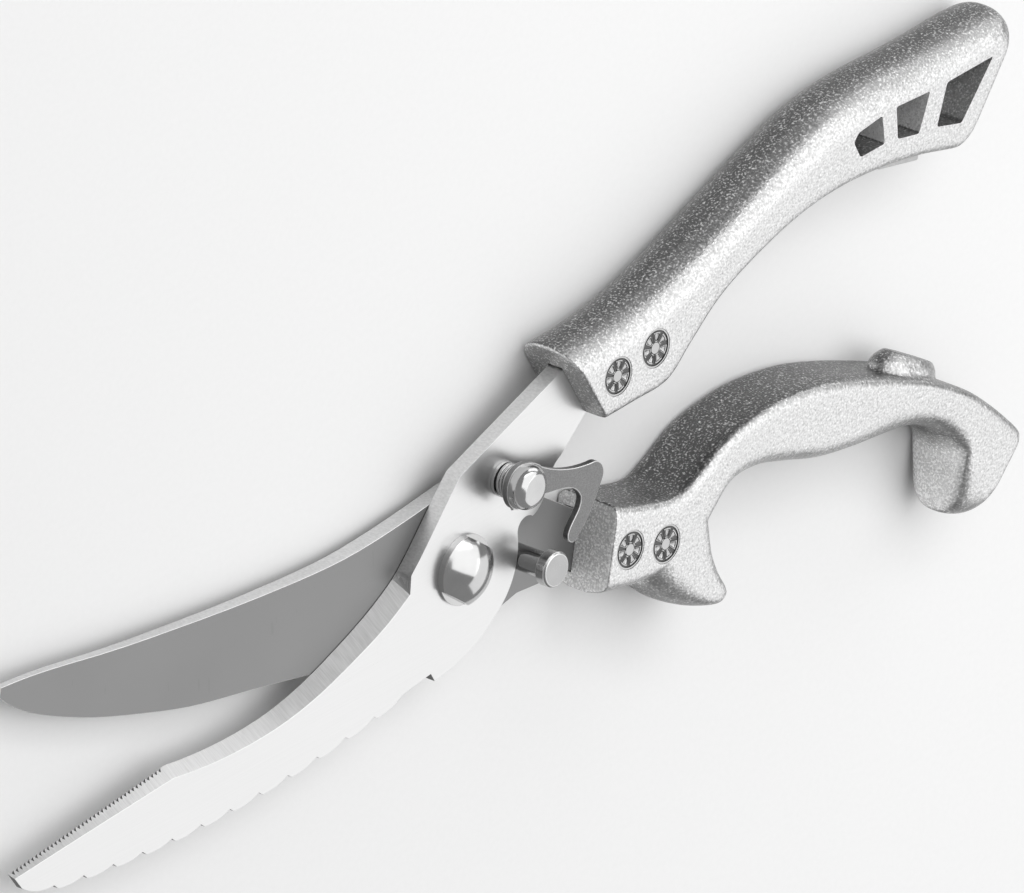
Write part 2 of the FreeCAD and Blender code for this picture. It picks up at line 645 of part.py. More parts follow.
# rivets and their caps
for name, spot in RIVET_SPOTS.items():
    at = [str(value) for value in spot]
    rivet = new_body(name)
    disc(rivet, name + "_head", "dims.cap_sink", "dims.rivet_head_height",
         "dims.rivet_head_radius", *at)
    disc(rivet, name + "_shank", "dims.cap_sink + dims.rivet_head_height",
         HANDLE_TOP + " - dims.rivet_head_height - dims.cap_height - 2 * dims.cap_sink",
         "dims.rivet_radius", *at)
    cap = new_body(name.replace("rivet", "cap"))
    face = HANDLE_TOP + " - dims.cap_sink"
    disc(cap, cap.Label + "_disc", face + " - dims.cap_height", "dims.cap_height",
         "dims.rivet_head_radius", *at)
    ring = new_sketch(cap, cap.Label + "_ring", face)
    draw_circle(ring, *at, "dims.rivet_head_radius - dims.cap_rim")
    draw_circle(ring, *at, "dims.rivet_head_radius - dims.cap_rim - dims.cap_ring_width")
    pocket(cap, ring, "dims.cap_ring_depth")

# export
doc.recompute()
nodes = [item for item in doc.Objects
         if item.TypeId == "PartDesign::Body" or item in (opening_spring, latch_spring)]
for item in doc.Objects:
    if "Invalid" in item.State or "Error" in item.State:
        raise RuntimeError(f"{item.Label} failed: {item.State}")
os.makedirs("parts", exist_ok=True)
for node in nodes:
    if node.Shape.isNull() or not node.Shape.isValid():
        raise RuntimeError(f"{node.Label} has no valid shape")
for node in nodes:
    node.Shape.exportStep(f"parts/{node.Label}.step")
    print(node.Label, round(node.Shape.Volume, 1), len(node.Shape.Solids))
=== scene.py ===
import math

import bmesh
import bpy
from mathutils import Matrix, Vector


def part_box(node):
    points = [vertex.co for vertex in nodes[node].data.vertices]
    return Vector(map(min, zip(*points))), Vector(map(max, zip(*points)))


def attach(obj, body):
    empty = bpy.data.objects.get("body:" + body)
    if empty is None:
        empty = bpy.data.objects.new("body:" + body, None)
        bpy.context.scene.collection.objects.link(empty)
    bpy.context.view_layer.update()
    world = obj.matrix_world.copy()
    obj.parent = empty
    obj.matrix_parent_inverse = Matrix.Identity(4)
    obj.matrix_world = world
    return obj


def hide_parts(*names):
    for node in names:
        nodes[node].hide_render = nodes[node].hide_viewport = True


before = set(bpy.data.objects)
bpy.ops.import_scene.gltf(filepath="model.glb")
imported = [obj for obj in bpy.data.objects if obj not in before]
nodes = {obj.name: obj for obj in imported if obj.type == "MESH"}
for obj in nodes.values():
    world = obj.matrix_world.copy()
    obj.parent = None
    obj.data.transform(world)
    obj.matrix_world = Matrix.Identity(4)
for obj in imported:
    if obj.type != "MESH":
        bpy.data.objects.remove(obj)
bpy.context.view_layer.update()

mm = 0.001
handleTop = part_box("upper_handle")[1].z
handleMiddle = handleTop / 2
mergeDistance = 0.002 * mm


# Shader building: sums on values add Math nodes, anything else comes from add().
class Value:
    def __init__(self, tree, socket):
        self.tree = tree
        self.socket = socket

    def maths(self, operation, *others):
        node = self.tree.nodes.new("ShaderNodeMath")
        node.operation = operation
        for socket, item in zip(node.inputs, (self,) + others):
            if isinstance(item, Value):
                self.tree.links.new(item.socket, socket)
            else:
                socket.default_value = item
        return Value(self.tree, node.outputs[0])

    def __add__(self, other):
        return self.maths("ADD", other)

    def __mul__(self, other):
        return self.maths("MULTIPLY", other)

    def __sub__(self, other):
        return self.maths("SUBTRACT", other)

    def __rsub__(self, other):
        return (self * -1.0) + other

    def __gt__(self, other):
        return self.maths("GREATER_THAN", other)

    def __abs__(self):
        return self.maths("ABSOLUTE")

    __radd__ = __add__
    __rmul__ = __mul__


class Finish:
    def __init__(self, name):
        self.material = bpy.data.materials.new(name)
        self.material.use_nodes = True
        self.tree = self.material.node_tree
        self.shader = self.tree.nodes["Principled BSDF"]
        self.place = self.add("ShaderNodeTexCoord").outputs["Object"]

    def add(self, kind, settings=None, values=None):
        node = self.tree.nodes.new(kind)
        for name, setting in (settings or {}).items():
            if name == "stops":
                self.setStops(node.color_ramp, setting)
            else:
                setattr(node, name, setting)
        for name, item in (values or {}).items():
            self.feed(node.inputs[name], item)
        return node

    def setStops(self, ramp, stops):
        while len(ramp.elements) < len(stops):
            ramp.elements.new(0.5)
        for element, (position, grey) in zip(ramp.elements, stops):
            element.position = position
            element.color = (grey, grey, grey, 1)

    def feed(self, socket, item):
        if isinstance(item, Value):
            item = item.socket
        if isinstance(item, bpy.types.NodeSocket):
            self.tree.links.new(item, socket)
        else:
            socket.default_value = item

    def set(self, **values):
        names = {"color": "Base Color", "rough": "Roughness", "metal": "Metallic", "normal": "Normal"}
        for name, item in values.items():
            self.feed(self.shader.inputs[names[name]], item)
        return self.material

    def stretched(self, scale, turn=0.0):
        return self.add("ShaderNodeMapping", values={
            "Vector": self.place, "Scale": scale, "Rotation": (0, 0, math.radians(turn))}).outputs[0]

    def noise(self, scale, detail=2.0, at=None):
        node = self.add("ShaderNodeTexNoise", values={
            "Vector": at or self.place, "Scale": scale, "Detail": detail})
        return Value(self.tree, node.outputs["Fac"])

    def axis(self, index, at=None):
        node = self.add("ShaderNodeSeparateXYZ", values={0: at or self.place})
        return Value(self.tree, node.outputs[index])

    def greys(self, value, stops):
        return self.add("ShaderNodeValToRGB", {"stops": stops}, {0: value}).outputs[0]

    def bump(self, height, distance, strength=1.0):
        return self.add("ShaderNodeBump", values={
            "Height": height, "Distance": distance, "Strength": strength}).outputs[0]


castFinish = {
    "grain": 2500, "grainShare": 1.10, "speck": 1500, "speckShare": 0.70, "cloud": 45,
    "facingAlong": 0.97, "facingAcross": 0.10, "facingFrom": 0.66, "facingPaintedLight": 1.7, "facingPaintedLift": 1.6,
    "facingMetal": -2.0, "pitWear": 0.30, "cloudWear": 0.10, "pitTone": 0.6, "paintedGlintFrom": 0.54,
    "paintedGlint": 3.0, "paintedGlintFade": -0.8, "metal": 0.95, "rough": 0.36, "cloudRough": 0.14,
    "grainRough": 0.25, "bumpDepth": 0.00012, "bumpGrain": 0.6, "bumpStrength": 0.8}


# Bead-blasted cast metal with fine grain. Its colour is painted light: painted shade darkens the walls and
# leaves the faces that look up pale, painted light lifts the ends that face the blades (also made less
# metallic), and painted glints speckle the walls.
def makeCastMetal(name, side, top):
    look = castFinish
    finish = Finish(name)
    grain = finish.noise(look["grain"], 2)
    speck = finish.noise(look["speck"], 2)
    cloud = finish.noise(look["cloud"], 3)
    normal = finish.add("ShaderNodeTexCoord").outputs["Normal"]
    upward = abs(finish.axis(2, normal))
    # The facing mask picks out the ends that face the blades, for painted light there.
    facing = finish.axis(1, normal) * look["facingAcross"] - finish.axis(0, normal) * look["facingAlong"]
    facing = (facing - look["facingFrom"]).maths("MAXIMUM", 0.0)
    pits = (grain - 0.5) * look["grainShare"] + (speck - 0.5) * look["speckShare"]
    # Painted shade: the ramp darkens the walls and lightens the faces that look up, and painted light lifts
    # the ends that face the blades. The grain and clouding mixed in are the metal's own.
    paintedShadeAndGrain = (upward + facing * look["facingPaintedLight"] + pits * look["pitWear"]
            + (cloud - 0.5) * look["cloudWear"])
    stops = [(0.05, side), (0.35, side + 0.1), (0.72, (side + top) / 2), (1.00, top)]
    tone = Value(finish.tree, finish.greys(paintedShadeAndGrain, stops)) + facing * look["facingPaintedLift"]
    # Painted glints: bright grain specks added to the colour, strongest on the walls.
    fade = upward * look["paintedGlintFade"] + 1.0
    paintedGlint = (grain - look["paintedGlintFrom"]).maths("MAXIMUM", 0.0) * fade * look["paintedGlint"]
    return finish.set(color=tone * (pits * look["pitTone"] + 1.0) + paintedGlint,
                      rough=look["rough"] + (cloud - 0.5) * look["cloudRough"]
                      + (grain - 0.5) * look["grainRough"],
                      metal=facing * look["facingMetal"] + look["metal"],
                      normal=finish.bump(grain * look["bumpGrain"] + speck, look["bumpDepth"],
                                         look["bumpStrength"]))


steelFinish = {"hairShare": 0.7, "cloudShare": 0.3, "cloud": 38, "scratch": (900, 120, 400),
               "scratchTurn": 27, "scratchFrom": 0.72, "scratchRough": 0.06, "cloudRough": 0.16,
               "hairRough": 0.14}


# Ground steel: hair lines along the blade, light stains and fine scratches.
def makeSteel(name, light, rough, lines=(60, 5200, 900), turn=0.0, depth=0.00001, contrast=0.10):
    look = steelFinish
    finish = Finish(name)
    hair = finish.noise(1.0, 4, finish.stretched(lines, turn))
    cloud = finish.noise(look["cloud"], 4)
    scratch = finish.noise(1.0, 2, finish.stretched(look["scratch"], look["scratchTurn"]))
    color = finish.greys(hair * look["hairShare"] + cloud * look["cloudShare"],
                         [(0.30, light * (1 - 2 * contrast)), (0.70, light)])
    fine = (scratch > look["scratchFrom"]) * look["scratchRough"]
    return finish.set(color=color, metal=1.0, normal=finish.bump(hair, depth, 0.5),
                      rough=rough + (cloud - 0.5) * look["cloudRough"] + (hair - 0.5) * look["hairRough"]
                      + fine)


polishFinish = {"smear": 220, "smearTone": 0.9, "smearRough": 0.12, "pits": 2400, "pitFrom": 0.70,
                "pitRough": 0.10, "bumpDepth": 0.000004, "bumpStrength": 0.3}


def makePolished(name, light, rough):
    look = polishFinish
    finish = Finish(name)
    smear = finish.noise(look["smear"], 4)
    pits = finish.noise(look["pits"], 2)
    return finish.set(color=finish.greys(smear, [(0.3, light * look["smearTone"]), (0.7, light)]),
                      rough=rough + (smear - 0.5) * look["smearRough"]
                      + (pits > look["pitFrom"]) * look["pitRough"], metal=1.0,
                      normal=finish.bump(pits, look["bumpDepth"], look["bumpStrength"]))


plasticFinish = {"grain": 1800, "grainTone": 0.88, "grainRough": 0.2, "bumpDepth": 0.00003,
                 "bumpStrength": 0.6}


def makePlastic(name, light, rough):
    look = plasticFinish
    finish = Finish(name)
    grain = finish.noise(look["grain"], 3)
    return finish.set(color=finish.greys(grain, [(0.35, light * look["grainTone"]), (0.65, light)]),
                      rough=rough + (grain - 0.5) * look["grainRough"],
                      normal=finish.bump(grain, look["bumpDepth"], look["bumpStrength"]))


materials = {
    # The side and top greys are painted shade on the walls and painted light on the faces that look up.
    "castMetal": makeCastMetal("castMetal", 0.12, 0.62),
    # A lighter copy of the cast metal for the window and pad-seat walls, painted light over the shade in
    # these recesses.
    "castInsidePaintedLight": makeCastMetal("castInsidePaintedLight", 0.42, 0.50),
    "frontSteel": makeSteel("frontSteel", 0.68, 0.33, lines=(45, 4200, 900), turn=12, contrast=0.025),
    "rearSteel": makeSteel("rearSteel", 0.27, 0.50, lines=(45, 4200, 900), turn=12, contrast=0.03),
    "toothPaintedShade": makeSteel("toothPaintedShade", 0.16, 0.5, lines=(2600, 2600, 1500), contrast=0.16),
    "grindSteel": makeSteel("grindSteel", 0.60, 0.42, lines=(3600, 130, 300), depth=0.00003, contrast=0.13),
    "spineSteel": makeSteel("spineSteel", 0.80, 0.44, lines=(2600, 2600, 1500), contrast=0.13),
    # A bright steel for broken edges, a painted highlight.
    "edgeHighlightSteel": makeSteel("edgeHighlightSteel", 0.72, 0.34, lines=(900, 900, 3000), contrast=0.06),
    "latchSteel": makeSteel("latchSteel", 0.27, 0.46, lines=(4200, 4200, 4200), contrast=0.22),
    "polishedSteel": makePolished("polishedSteel", 0.52, 0.15),
    "pinSteel": makePolished("pinSteel", 0.40, 0.20),
    "satinCap": makePolished("satinCap", 0.50, 0.34),
    # A dark copy of the cap metal, painted shade in the caps' recesses.
    "capRelief": makePolished("capRelief", 0.12, 0.45),
    "springWire": makePolished("springWire", 0.52, 0.22),
    "nylon": makePlastic("nylon", 0.80, 0.55),
    "stopPlastic": makePlastic("stopPlastic", 0.62, 0.55),
}
print("materials made:", len(materials))


# Mesh helpers
def meshObject(name, bm, *finishes):
    mesh = bpy.data.meshes.new(name)
    bm.to_mesh(mesh)
    bm.free()
    piece = bpy.data.objects.new(name, mesh)
    bpy.context.scene.collection.objects.link(piece)
    for finish in finishes:
        mesh.materials.append(materials[finish])
    return piece


def applyModifiers(piece):
    graph = bpy.context.evaluated_depsgraph_get()
    graph.update()
    mesh = bpy.data.meshes.new_from_object(piece.evaluated_get(graph))
    old = piece.data
    piece.modifiers.clear()
    piece.data = mesh
    bpy.data.meshes.remove(old)


def shadeSmooth(piece, sharpAngle=None):
    bm = bmesh.new()
    bm.from_mesh(piece.data)
    for face in bm.faces:
        face.smooth = True
    for edge in bm.edges:
        if sharpAngle and len(edge.link_faces) == 2:
            edge.smooth = edge.calc_face_angle(0) < math.radians(sharpAngle)
    bm.to_mesh(piece.data)
    bm.free()


# The cut walls take the finish in the piece's slot of the given number.
def cut(piece, cutter, slot=0):
    for finish in list(piece.data.materials)[len(cutter.data.materials):]:
        cutter.data.materials.append(finish)
    for face in cutter.data.polygons:
        face.material_index = slot
    tool = piece.modifiers.new("cut", "BOOLEAN")
    tool.operation = "DIFFERENCE"
    tool.solver = "EXACT"
    tool.object = cutter
    applyModifiers(piece)
    bpy.data.objects.remove(cutter)


# A straight-sided cutter, its upright edges rounded by the given number of millimetres.
def prism(name, corners, low, high, rounding=0.0):
    bm = bmesh.new()
    face = bm.faces.new([bm.verts.new((x * mm, y * mm, low)) for x, y in corners])
    raised = bmesh.ops.extrude_face_region(bm, geom=[face])["geom"]
    bmesh.ops.translate(bm, verts=[v for v in raised if isinstance(v, bmesh.types.BMVert)],
                        vec=(0, 0, high - low))
    if rounding:
        upright = [edge for edge in bm.edges if abs(edge.verts[0].co.z - edge.verts[1].co.z) > mm]
        bmesh.ops.bevel(bm, geom=upright, offset=rounding * mm, affect="EDGES", segments=3, profile=0.5,
                        material=-1)
    bmesh.ops.recalc_face_normals(bm, faces=bm.faces)
    return meshObject(name, bm)


def drum(name, across, up, radius, low, high, segments=64):
    bm = bmesh.new()
    bmesh.ops.create_cone(bm, cap_ends=True, segments=segments, radius1=radius, radius2=radius,
                          depth=high - low, matrix=Matrix.Translation((across, up, (low + high) / 2)))
    return meshObject(name, bm)


castLook = {"voxel": 0.34 * mm, "smoothing": 4, "smoothFactor": 0.5, "fullness": 0.993, "flatSpread": 20,
            "ringPoints": 64, "sharpAngle": 50}


# A casting is lofted through stations. Each is a cut across the handle in millimetres:
# its crisp inner side, its rounded outer side, its share of the full height, and how
# far its outer side rounds.
def shapeRing(verts, layer, count, station, look):
    inner, outer, share, outerRound = station
    middle = (Vector(inner) + Vector(outer)) / 2
    across = Vector(outer) - Vector(inner)
    reach = across.length / 2
    across.normalize()
    height = handleMiddle / mm * share * castLook["fullness"]
    for vert in verts:
        turn = 2 * math.pi * vert[layer] / count
        side = math.cos(turn)
        rise = math.sin(turn)
        power = look["outerPower"] if side > 0 else look["innerPower"]
        soft = min(outerRound if side > 0 else look["innerRound"], reach)
        bulge = abs(side) ** (2 / power) * soft
        flat = (reach - soft) * min(1, abs(side) * castLook["flatSpread"])
        x = math.copysign(bulge + flat, side)
        z = math.copysign(abs(rise) ** (2 / power) * height, rise)
        vert.co = ((middle.x + across.x * x) * mm, (middle.y + across.y * x) * mm,
                   handleMiddle + z * mm)


def loft(name, stations, look):
    bm = bmesh.new()
    layer = bm.verts.layers.int.new("turn")
    count = castLook["ringPoints"]
    ring = bmesh.ops.create_circle(bm, cap_ends=True, segments=count, radius=1)["verts"]
    for index, vert in enumerate(ring):
        vert[layer] = index
    shapeRing(ring, layer, count, stations[0], look)
    edges = list(bm.edges)
    for station in stations[1:]:
        grown = bmesh.ops.extrude_edge_only(bm, edges=edges)["geom"]
        edges = [item for item in grown if isinstance(item, bmesh.types.BMEdge)]
        verts = [item for item in grown if isinstance(item, bmesh.types.BMVert)]
        shapeRing(verts, layer, count, station, look)
    bmesh.ops.contextual_create(bm, geom=edges)
    bmesh.ops.recalc_face_normals(bm, faces=bm.faces)
    return meshObject(name, bm)


# Stations between the given ones, on a smooth curve through them.
def refine(stations, look):
    steps = look["refine"]
    defaults = (1, look["outerRound"])
    full = [(*s[0], *s[1], *s[2:], *defaults[len(s) - 2:]) for s in stations]
    ends = [full[0]] + full + [full[-1]]
    fine = []
    for i in range(len(full) - 1):
        a, b, c, d = ends[i:i + 4]
        for k in range(steps):
            t = k / steps
            fine.append([0.5 * (2 * q + (r - p) * t + (2 * p - 5 * q + 4 * r - s) * t * t
                                + (3 * q - p - 3 * r + s) * t ** 3) for p, q, r, s in zip(a, b, c, d)])
    fine.append(full[-1])
    return [((s[0], s[1]), (s[2], s[3]), s[4], s[5]) for s in fine]


def castTogether(name, parts):
    for part in parts[1:]:
        joiner = parts[0].modifiers.new("join", "BOOLEAN")
        joiner.operation = "UNION"
        joiner.solver = "EXACT"
        joiner.object = part
        applyModifiers(parts[0])
        bpy.data.objects.remove(part)
    piece = parts[0]
    piece.name = name
    piece.data.materials.clear()
    for finish in ("castMetal", "castInsidePaintedLight"):
        piece.data.materials.append(materials[finish])
    remesh = piece.modifiers.new("remesh", "REMESH")
    remesh.mode = "VOXEL"
    remesh.voxel_size = castLook["voxel"]
    applyModifiers(piece)
    bm = bmesh.new()
    bm.from_mesh(piece.data)
    for _ in range(castLook["smoothing"]):
        bmesh.ops.smooth_vert(bm, verts=bm.verts, factor=castLook["smoothFactor"], use_axis_x=True,
                              use_axis_y=True, use_axis_z=True)
    bm.to_mesh(piece.data)
    bm.free()
    return piece


machineLook = {"margin": 0.05 * mm, "seatDepth": 1.0 * mm, "rivetHole": 1.8 * mm}


# Crisp machining in a finished casting: rivet seats and the slot for the tang.
def machine(piece, side, slotCorners, tang):
    low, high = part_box(tang)
    margin = machineLook["margin"]
    cut(piece, prism("slotCutter", slotCorners, low.z - margin, high.z + margin))
    for end in ("front", "back"):
        capLow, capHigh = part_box(f"{side}_cap_{end}")
        spot = (capLow + capHigh) / 2
        radius = (capHigh.x - capLow.x) / 2 + margin
        headLow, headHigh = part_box(f"{side}_rivet_{end}")
        cut(piece, drum("seatCutter", spot.x, spot.y, radius, capLow.z, handleTop + mm))
        cut(piece, drum("seatCutter", spot.x, spot.y, radius, -mm,
                        headLow.z + machineLook["seatDepth"]))
        cut(piece, drum("seatCutter", spot.x, spot.y, machineLook["rivetHole"], -mm, handleTop))


upperLook = {
    "innerRound": 7.0, "innerPower": 9.0, "outerRound": 6.6, "outerPower": 2.35, "refine": 5,
    "stations": [((33.2, 16.7), (25.4, 32.3)), ((41.0, 16.9), (36.0, 32.9)), ((49.4, 17.4), (46.5, 34.6)),
                 ((55.6, 21.8), (54.0, 36.7)), ((63.8, 27.6), (62.0, 39.3)), ((73.5, 31.6), (72.0, 42.9)),
                 ((85.5, 34.8), (84.0, 47.4)), ((97.0, 35.8), (96.0, 51.0)), ((108.0, 35.1), (108.0, 52.1)),
                 ((117.0, 33.6), (118.0, 51.9)), ((122.5, 32.2), (128.0, 51.9)),
                 ((126.0, 31.3), (136.5, 52.1)), ((127.6, 31.3), (141.6, 51.6)),
                 ((129.6, 32.3), (143.5, 49.8)), ((131.2, 33.8), (143.7, 48.4), 0.96)],
    "padSeat": (1.012, 1.03, 1.012), "windowRound": 0.5,
    "windows": [[(99.5, 43.6), (100.8, 45.0), (107.2, 45.8), (107.4, 40.3), (101.0, 40.2)],
                [(110.9, 46.0), (119.8, 45.5), (116.3, 38.6), (110.8, 39.8)],
                [(124.3, 45.4), (136.5, 45.6), (127.4, 36.2), (121.0, 38.0)]],
    "slot": [(18.0, 34.0), (28.0, 27.4), (50.0, 29.8), (54.2, 29.8), (54.2, 21.9), (51.5, 21.2),
             (37.0, 18.7), (24.0, 8.0)],
}


# The stop pad's own block, a hair larger all round, sinks its seat.
def padSeat():
    bm = bmesh.new()
    bm.from_mesh(nodes["upper_stop_pad"].data)
    bmesh.ops.remove_doubles(bm, verts=bm.verts, dist=mergeDistance)
    low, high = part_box("upper_stop_pad")
    middle = (low + high) / 2
    bmesh.ops.scale(bm, verts=bm.verts, vec=upperLook["padSeat"], space=Matrix.Translation(-middle))
    return meshObject("padSeat", bm)


def makeUpperHandle():
    look = upperLook
    body = loft("upperBody", refine(look["stations"], look), look)
    piece = castTogether("upperHandle", [body])
    for corners in look["windows"]:
        # Window walls take slot 1, the lighter cast copy painted as light in the recess.
        cut(piece, prism("windowCutter", corners, -mm, handleTop + mm, look["windowRound"]), 1)
    machine(piece, "upper", look["slot"], "front_blade")
    cut(piece, padSeat(), 1)
    shadeSmooth(piece, castLook["sharpAngle"])
    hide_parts("upper_handle")
    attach(piece, "front_half")
    return piece


lowerLook = {
    "innerRound": 7.0, "innerPower": 8.0, "outerRound": 4.6, "outerPower": 2.5, "refine": 5,
    "stations": [((34.6, -0.8), (30.2, -17.1), 1, 3.4), ((42.0, -3.3), (39.0, -18.9), 1, 3.4),
                 ((50.5, -5.3), (47.6, -19.2), 1, 3.6),
                 ((56.0, -3.5), (57.5, -15.6)), ((63.5, 0.1), (64.6, -10.1)), ((72.0, 1.7), (72.0, -9.6)),
                 ((80.0, 1.9), (79.6, -11.7)), ((90.0, 0.4), (88.1, -14.6)), ((99.0, -2.4), (96.7, -16.2)),
                 ((107.0, -5.6), (105.1, -17.3), 1, 5.5), ((115.5, -9.4), (113.2, -18.6), 1, 7),
                 ((122.0, -13.2), (119.9, -22.2), 1, 8), ((127.5, -16.8), (124.0, -28.4), 1, 9),
                 ((132.2, -21.0), (122.9, -34.0), 1, 10), ((136.4, -25.4), (122.1, -39.1), 1, 10),
                 ((139.4, -29.0), (125.2, -41.3), 1, 10), ((139.2, -30.4), (127.8, -41.3), 1, 9),
                 ((138.0, -31.8), (129.2, -40.0), 0.9, 8)],
    "mound": {"middle": (115.3, -9.3, 7.9), "size": (8.2, 4.4, 4.4), "turn": -28},
    "landing": ((113.7, -4.7), (122.7, -10.3)), "facet": ((115.6, -7.4, 11.7), (0.08, 0.45, 0.89)),
    "slot": [(22.0, 6.0), (35.0, -4.4), (51.2, -9.0), (54.0, -11.5), (54.0, -15.0), (50.2, -16.8),
             (22.0, -13.5)],
}


prongLook = {
    "innerRound": 5.0, "innerPower": 5.0, "outerRound": 7.0, "outerPower": 2.3, "refine": 4,
    "stations": [((58.4, -8.0), (40.0, -11.0)), ((58.9, -15.5), (43.0, -19.8)),
                 ((59.3, -20.0), (47.3, -25.2)), ((60.8, -24.6), (52.3, -28.6)),
                 ((61.9, -27.2), (56.4, -30.3)),
                 ((62.2, -28.8), (59.2, -30.9), 0.92), ((61.6, -29.9), (60.4, -30.8), 0.7)]}


# The mound has a flat landing for the stop pad and a worn facet above it.
def makeMound(look):
    bm = bmesh.new()
    size = Matrix.Diagonal((*[side * mm for side in look["mound"]["size"]], 1))
    turn = Matrix.Rotation(math.radians(look["mound"]["turn"]), 4, "Z")
    place = Matrix.Translation(Vector(look["mound"]["middle"]) * mm)
    bmesh.ops.create_uvsphere(bm, u_segments=48, v_segments=24, radius=1, matrix=place @ turn @ size)
    first, last = (Vector((*point, 0)) * mm for point in look["landing"])
    along = (last - first).normalized()
    spot, way = (Vector(item) for item in look["facet"])
    for point, normal in ((first, Vector((-along.y, along.x, 0))), (spot * mm, way)):
        bmesh.ops.bisect_plane(bm, geom=bm.verts[:] + bm.edges[:] + bm.faces[:], plane_co=point,
                               plane_no=normal, clear_outer=True)
        bmesh.ops.holes_fill(bm, edges=bm.edges)
    bmesh.ops.recalc_face_normals(bm, faces=bm.faces)
    return meshObject("lowerMound", bm)


def makeLowerHandle():
    look = lowerLook
    grip = loft("lowerGrip", refine(look["stations"], look), look)
    prong = loft("lowerProng", refine(prongLook["stations"], prongLook), prongLook)
    piece = castTogether("lowerHandle", [grip, prong, makeMound(look)])
    machine(piece, "lower", look["slot"], "rear_blade")
    shadeSmooth(piece, castLook["sharpAngle"])
    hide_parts("lower_handle")
    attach(piece, "rear_half")
    return piece


makeUpperHandle()
print("upper handle cast")
makeLowerHandle()
print("lower handle cast")


workLook = {"flatAngle": 0.6, "bevelAngle": 28}


# Pieces worked up from their CAD solids: merged, edges broken, faces sorted by finish. Where a slot is
# given, the broken edges take a brighter steel as a painted highlight.
def workUp(node, name, body, finishes, edgeBreak, sortFace=None, segments=2, edgeHighlightSlot=-1):
    bm = bmesh.new()
    bm.from_mesh(nodes[node].data)
    bmesh.ops.remove_doubles(bm, verts=bm.verts, dist=mergeDistance)
    bmesh.ops.dissolve_limit(bm, angle_limit=math.radians(workLook["flatAngle"]), verts=bm.verts,
                             edges=bm.edges, delimit={"NORMAL"})
    for face in bm.faces:
        face.smooth = True
        face.material_index = sortFace(face) if sortFace else 0
    piece = meshObject(name, bm, *finishes)
    if "custom_normal" in piece.data.attributes:
        piece.data.attributes.remove(piece.data.attributes["custom_normal"])
    if edgeBreak:
        bevel = piece.modifiers.new("edges", "BEVEL")
        bevel.width = edgeBreak * mm
        bevel.segments = segments
        bevel.limit_method = "ANGLE"
        bevel.angle_limit = math.radians(workLook["bevelAngle"])
        bevel.harden_normals = True
        bevel.material = edgeHighlightSlot
        applyModifiers(piece)
    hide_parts(node)
    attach(piece, body)
    return piece


frontBladeLook = {"edgeBreak": 0.10, "toothPitch": 1.0, "toothDepth": 0.48, "cutterHeight": 3.0,
                  "cutterLift": 0.2, "edgeStart": (-114.3, -12.3), "edgeEnd": (-74.0, -8.2)}
faceLean = {"flat": 0.985, "bevel": 0.25, "step": -0.35}


# 0 is the flat, 1 the ground bevel, 2 the walls
def sortBladeFace(face):
    lean = abs(face.normal.z)
    if lean > faceLean["flat"]:
        return 0
    return 1 if lean > faceLean["bevel"] else 2


# The steps between the scallops and the tip's end take a dark steel as painted shade.
def sortToothedFace(face):
    index = sortBladeFace(face)
    return 4 if index == 2 and face.normal.x < faceLean["step"] and face.normal.y < 0 else index


def makeFrontBlade():
    look = frontBladeLook
    piece = workUp("front_blade", "frontBlade", "front_half",
                   ["frontSteel", "grindSteel", "spineSteel", "edgeHighlightSteel", "toothPaintedShade"], look["edgeBreak"],
                   sortToothedFace, edgeHighlightSlot=3)
    start = Vector(look["edgeStart"])
    end = Vector(look["edgeEnd"])
    along = (end - start).normalized()
    bm = bmesh.new()
    count = int((end - start).length / look["toothPitch"]) - 1
    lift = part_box("front_blade")[0].z + look["cutterLift"] * mm
    turn = Matrix.Rotation(math.atan2(along.y, along.x), 4, "Z")
    for index in range(count):
        spot = start + along * look["toothPitch"] * (index + 1)
        bmesh.ops.create_cone(bm, cap_ends=True, segments=4, radius1=look["toothDepth"] * mm,
                              radius2=look["toothDepth"] * mm, depth=look["cutterHeight"] * mm,
                              matrix=Matrix.Translation((spot.x * mm, spot.y * mm, lift)) @ turn)
    # The notch walls take the same dark steel, painted shade in the notches.
    cut(piece, meshObject("toothCutter", bm), 4)
    return piece


makeFrontBlade()
workUp("rear_blade", "rearBlade", "rear_half",
       ["rearSteel", "grindSteel", "spineSteel", "edgeHighlightSteel"], 0.09, sortBladeFace, edgeHighlightSlot=3)
print("blades ground")


workUp("latch_lever", "latchLever", "latch", ["latchSteel", "edgeHighlightSteel"], 0.16, edgeHighlightSlot=1)
workUp("pivot_bolt", "pivotBolt", "front_half", ["polishedSteel"], 0.14)
workUp("latch_stud", "latchStud", "front_half", ["polishedSteel"], 0.10)
workUp("latch_collar", "latchCollar", "front_half", ["polishedSteel"], 0.12)
workUp("catch_pin", "catchPin", "rear_half", ["pinSteel", "edgeHighlightSteel"], 0.12,
       edgeHighlightSlot=1)
workUp("pivot_nut", "pivotNut", "front_half", ["polishedSteel"], 0.08)
workUp("upper_stop_pad", "upperStopPad", "front_half", ["stopPlastic"], 0.40, segments=3)
print("small parts finished")


# Stamped rivet caps: a thin rim, a gutter, a ring of hollow petals and an eye. A dark copy of the cap metal
# is painted shade in the gutter, the gaps between the petals and the walls of their hollows.
capLook = {"segments": 70, "rim": 0.30, "gutterWall": 0.06, "gutter": 0.28, "gutterDepth": 0.20,
           "petals": 7, "petalBand": 1.85, "petalSide": 0.05, "petalWall": 0.20, "petalGap": 0.11,
           "petalDepth": 0.16, "hollowSide": 0.10, "hollowShare": 0.7, "eyeWall": 0.08, "sharpAngle": 35}


